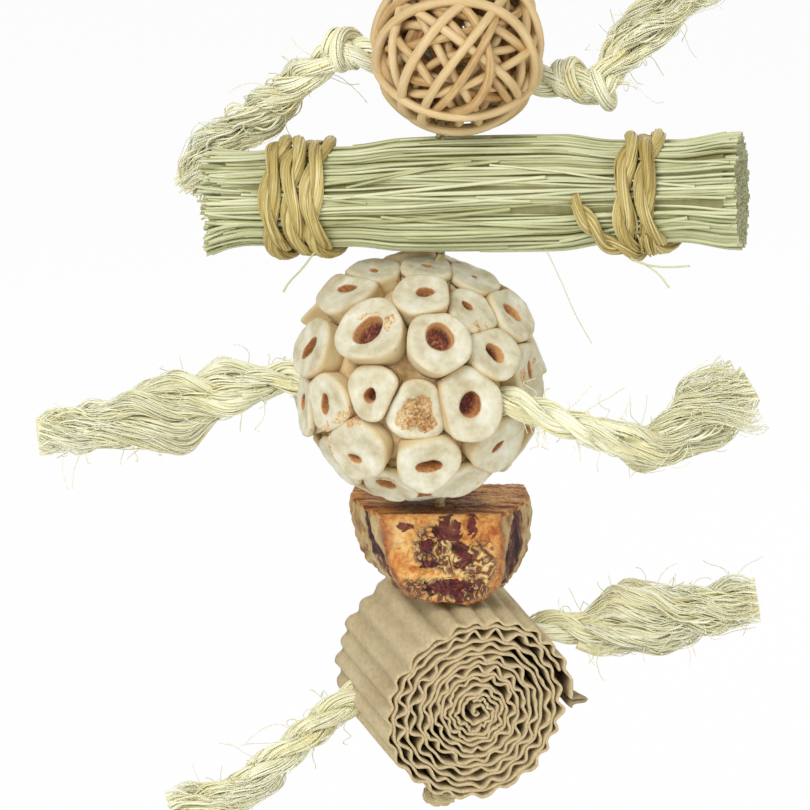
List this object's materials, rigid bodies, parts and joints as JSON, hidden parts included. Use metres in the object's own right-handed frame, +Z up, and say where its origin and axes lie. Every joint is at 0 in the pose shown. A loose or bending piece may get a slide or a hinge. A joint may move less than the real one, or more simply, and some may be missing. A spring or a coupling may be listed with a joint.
{
  "type": "bird chew tower",
  "caption": "Hanging bird chew tower: a rattan ball, a banded grass sheaf, a sola stick ball, a wood chunk and a cardboard roll on one cord, with frayed sisal tails.",
  "frame": {"origin": "top of the hanging loop, where a cage hook holds it", "axes": "+Z up along the cord, +X to the right and -Y towards the viewer in the picture"},
  "size_m": [0.2033, 0.085, 0.2935],
  "materials": {
    "cane": "peeled honey-coloured cane, satin",
    "cord": "plain twisted natural cord",
    "sisal": "pale straw sisal, matt fibres",
    "grass_rope": "golden-brown twisted grass",
    "grass": "dry sage-green stalks",
    "pith": "pale soft pith",
    "sola": "cream peeled stick, matt",
    "bark_wood": "rough bark and worm-eaten wood, orange-tan with maroon patches",
    "corrugated": "kraft corrugated cardboard, matt"
  },
  "bodies": {
    "hanger": {"hanging_loop": "cord"},
    "knot": {"top_knot": "cord"},
    "cord_1": {"core_cord_1": "cord"},
    "rattan_ball": {"cane_shell_outer": "cane", "cane_shell_middle": "cane", "cane_shell_inner": "cane", "rattan_rope_core": "sisal", "rattan_knot_left": "sisal", "rattan_knot_right": "sisal", "rattan_tail_left": "sisal", "rattan_tail_right": "sisal"},
    "cord_2": {"core_cord_2": "cord"},
    "sheaf": {"grass_sheaf": "grass", "left_band": "grass_rope", "right_band": "grass_rope", "right_band_knot": "grass_rope"},
    "cord_3": {"core_cord_3": "cord"},
    "sola_ball": {"sola_core": "pith", "sola_stick_01": "sola", "sola_stick_02": "sola", "sola_stick_03": "sola", "sola_stick_04": "sola", "sola_stick_05": "sola", "sola_stick_06": "sola", "sola_stick_07": "sola", "sola_stick_08": "sola", "sola_stick_09": "sola", "sola_stick_10": "sola", "sola_stick_11": "sola", "sola_stick_12": "sola", "sola_stick_13": "sola", "sola_stick_14": "sola", "sola_stick_15": "sola", "sola_stick_16": "sola", "sola_stick_17": "sola", "sola_stick_18": "sola", "sola_stick_19": "sola", "sola_stick_20": "sola", "sola_stick_21": "sola", "sola_rope_core": "sisal", "sola_tail_left": "sisal", "sola_tail_right": "sisal"},
    "cord_4": {"core_cord_4": "cord"},
    "chunk": {"wood_chunk": "bark_wood"},
    "cord_5": {"core_cord_5": "cord", "bottom_knot": "cord"},
    "cardboard_roll": {"roll_liner": "corrugated", "roll_fluted_sheet": "corrugated", "roll_rope_core": "sisal", "roll_tail_left": "sisal", "roll_tail_right": "sisal"}
  },
  "joints": [
    {"name": "swing_fore_aft", "type": "hinge", "parent": "hanger", "child": "knot", "pos_m": [0, 0, -0.034], "axis": [1, 0, 0], "range_deg": [-20, 20]},
    {"name": "swing_sideways", "type": "hinge", "parent": "knot", "child": "cord_1", "pos_m": [0, 0, -0.0422], "axis": [0, 1, 0], "range_deg": [-20, 20]},
    {"name": "rattan_ball_swivel", "type": "hinge", "parent": "cord_1", "child": "rattan_ball", "pos_m": [0, 0, -0.0686], "axis": [0, 0, 1], "range_deg": [-20, 1]},
    {"name": "bend_over_sheaf", "type": "hinge", "parent": "cord_1", "child": "cord_2", "pos_m": [0, 0, -0.0934], "axis": [0, 1, 0], "range_deg": [-4, 4]},
    {"name": "sheaf_swivel", "type": "hinge", "parent": "cord_2", "child": "sheaf", "pos_m": [0, 0, -0.1101], "axis": [0, 0, 1], "range_deg": [-1, 20]},
    {"name": "bend_over_sola_ball", "type": "hinge", "parent": "cord_2", "child": "cord_3", "pos_m": [0, 0, -0.12628], "axis": [1, 0, 0], "range_deg": [-4, 4]},
    {"name": "sola_ball_swivel", "type": "hinge", "parent": "cord_3", "child": "sola_ball", "pos_m": [0, 0, -0.1627], "axis": [0, 0, 1], "range_deg": [-25, 25]},
    {"name": "bend_over_chunk", "type": "hinge", "parent": "cord_3", "child": "cord_4", "pos_m": [0, 0, -0.19828], "axis": [0, 1, 0], "range_deg": [-4, 4]},
    {"name": "chunk_swivel", "type": "hinge", "parent": "cord_4", "child": "chunk", "pos_m": [0, 0, -0.2113], "axis": [0, 0, 1], "range_deg": [-15, 15]},
    {"name": "bend_over_roll", "type": "hinge", "parent": "cord_4", "child": "cord_5", "pos_m": [0, 0, -0.22478], "axis": [1, 0, 0], "range_deg": [-4, 4]},
    {"name": "roll_swivel", "type": "hinge", "parent": "cord_5", "child": "cardboard_roll", "pos_m": [0, 0, -0.2495], "axis": [0, 0, 1], "range_deg": [-15, 15]}
  ]
}
